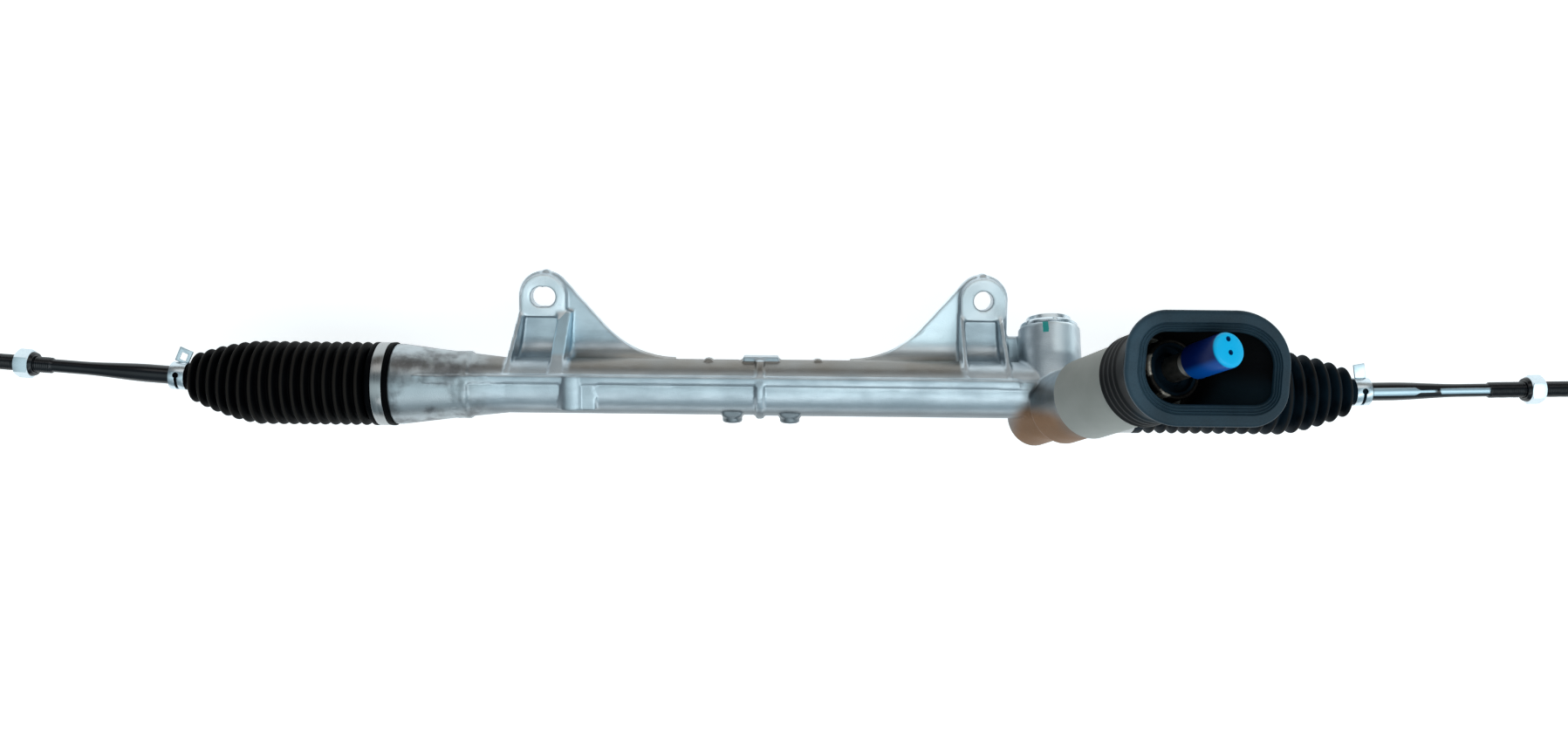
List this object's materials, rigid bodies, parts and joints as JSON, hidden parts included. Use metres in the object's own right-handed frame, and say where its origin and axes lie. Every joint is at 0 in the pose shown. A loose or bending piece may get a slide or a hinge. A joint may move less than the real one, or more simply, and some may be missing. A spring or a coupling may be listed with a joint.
{
  "type": "steering rack",
  "caption": "Manual rack-and-pinion steering gear with bolted ears, rubber bellows, inner tie rods, jam nuts and a floor seal around the capped input shaft.",
  "frame": {"origin": "centre of the round mounting hole, in the rear seating face of its ear", "axes": "+X along the rack towards the pinion end, +Y from the rack towards the mounting ears, +Z square to the seating faces, towards the steering shaft"},
  "size_m": [1.2337, 0.1285, 0.2227],
  "materials": {
    "cast_alloy": "die cast, satin with bright edges",
    "yoke_alloy": "turned, satin",
    "ground_steel": "hardened and ground",
    "forged_steel": "machined from forging, oiled",
    "bearing_steel": "polished",
    "zinc_steel": "blue-white zinc plated",
    "band_steel": "stainless strip, satin",
    "spring_steel": "dark spring wire",
    "sintered_bronze": "sintered, oil filled",
    "white_plastic": "moulded acetal",
    "grey_plastic": "moulded, fine matte",
    "blue_plastic": "moulded, semi-gloss",
    "slate_rubber": "moulded, fine ridges",
    "black_rubber": "moulded, semi-gloss",
    "black_enamel": "black, glossy"
  },
  "bodies": {
    "housing": {"housing": "cast_alloy", "rack_bush": "white_plastic", "needle_bearing": "bearing_steel", "pinion_end_cap": "zinc_steel", "bearing_outer_ring": "bearing_steel", "bearing_balls": "bearing_steel", "bearing_circlip": "spring_steel", "shaft_bush": "sintered_bronze", "shaft_oil_seal": "black_rubber", "column_sleeve": "grey_plastic", "floor_seal": "slate_rubber", "support_yoke": "yoke_alloy", "yoke_pad": "white_plastic", "yoke_spring": "spring_steel", "yoke_o_ring": "black_rubber", "yoke_plug": "zinc_steel", "yoke_lock_nut": "zinc_steel", "bellows_left": "black_rubber", "bellows_right": "black_rubber", "band_clamp_left": "band_steel", "band_clamp_right": "band_steel"},
    "rack": {"rack_bar": "ground_steel", "socket_left": "forged_steel", "socket_right": "forged_steel", "socket_washer_left": "zinc_steel", "socket_washer_right": "zinc_steel"},
    "pinion": {"pinion_shaft": "forged_steel", "bearing_inner_ring": "bearing_steel", "spline_cap": "blue_plastic"},
    "seat_left": {"ball_seat_left": "white_plastic"},
    "seat_right": {"ball_seat_right": "white_plastic"},
    "rod_left": {"tie_rod_left": "black_enamel", "jam_nut_left": "zinc_steel", "spring_clamp_left": "zinc_steel"},
    "rod_right": {"tie_rod_right": "black_enamel", "jam_nut_right": "zinc_steel", "spring_clamp_right": "zinc_steel"}
  },
  "joints": [
    {"name": "rack_slide", "type": "slide", "parent": "housing", "child": "rack", "axis": [1, 0, 0], "range_m": [-0.07, 0.07], "deforming": ["bellows_left", "bellows_right"]},
    {"name": "pinion_turn", "type": "hinge", "parent": "housing", "child": "pinion", "pos_m": [0.0495, -0.08003, 0.03697], "axis": [0.3584, 0.3193, 0.8773], "range_deg": [-570, 570]},
    {"name": "seat_swing_left", "type": "hinge", "parent": "rack", "child": "seat_left", "pos_m": [-0.5365, -0.065, 0.0315], "axis": [0, 1, 0], "range_deg": [-18, 18], "deforming": ["bellows_left"]},
    {"name": "rod_tilt_left", "type": "hinge", "parent": "seat_left", "child": "rod_left", "pos_m": [-0.5365, -0.065, 0.0315], "axis": [0, 0, 1], "range_deg": [-18, 18], "deforming": ["bellows_left"]},
    {"name": "seat_swing_right", "type": "hinge", "parent": "rack", "child": "seat_right", "pos_m": [0.2175, -0.065, 0.0315], "axis": [0, 1, 0], "range_deg": [-18, 18], "deforming": ["bellows_right"]},
    {"name": "rod_tilt_right", "type": "hinge", "parent": "seat_right", "child": "rod_right", "pos_m": [0.2175, -0.065, 0.0315], "axis": [0, 0, 1], "range_deg": [-18, 18], "deforming": ["bellows_right"]}
  ],
  "couplings": [
    {"joint": "pinion_turn", "follows": "rack_slide", "rad_per_m": -141.1}
  ]
}
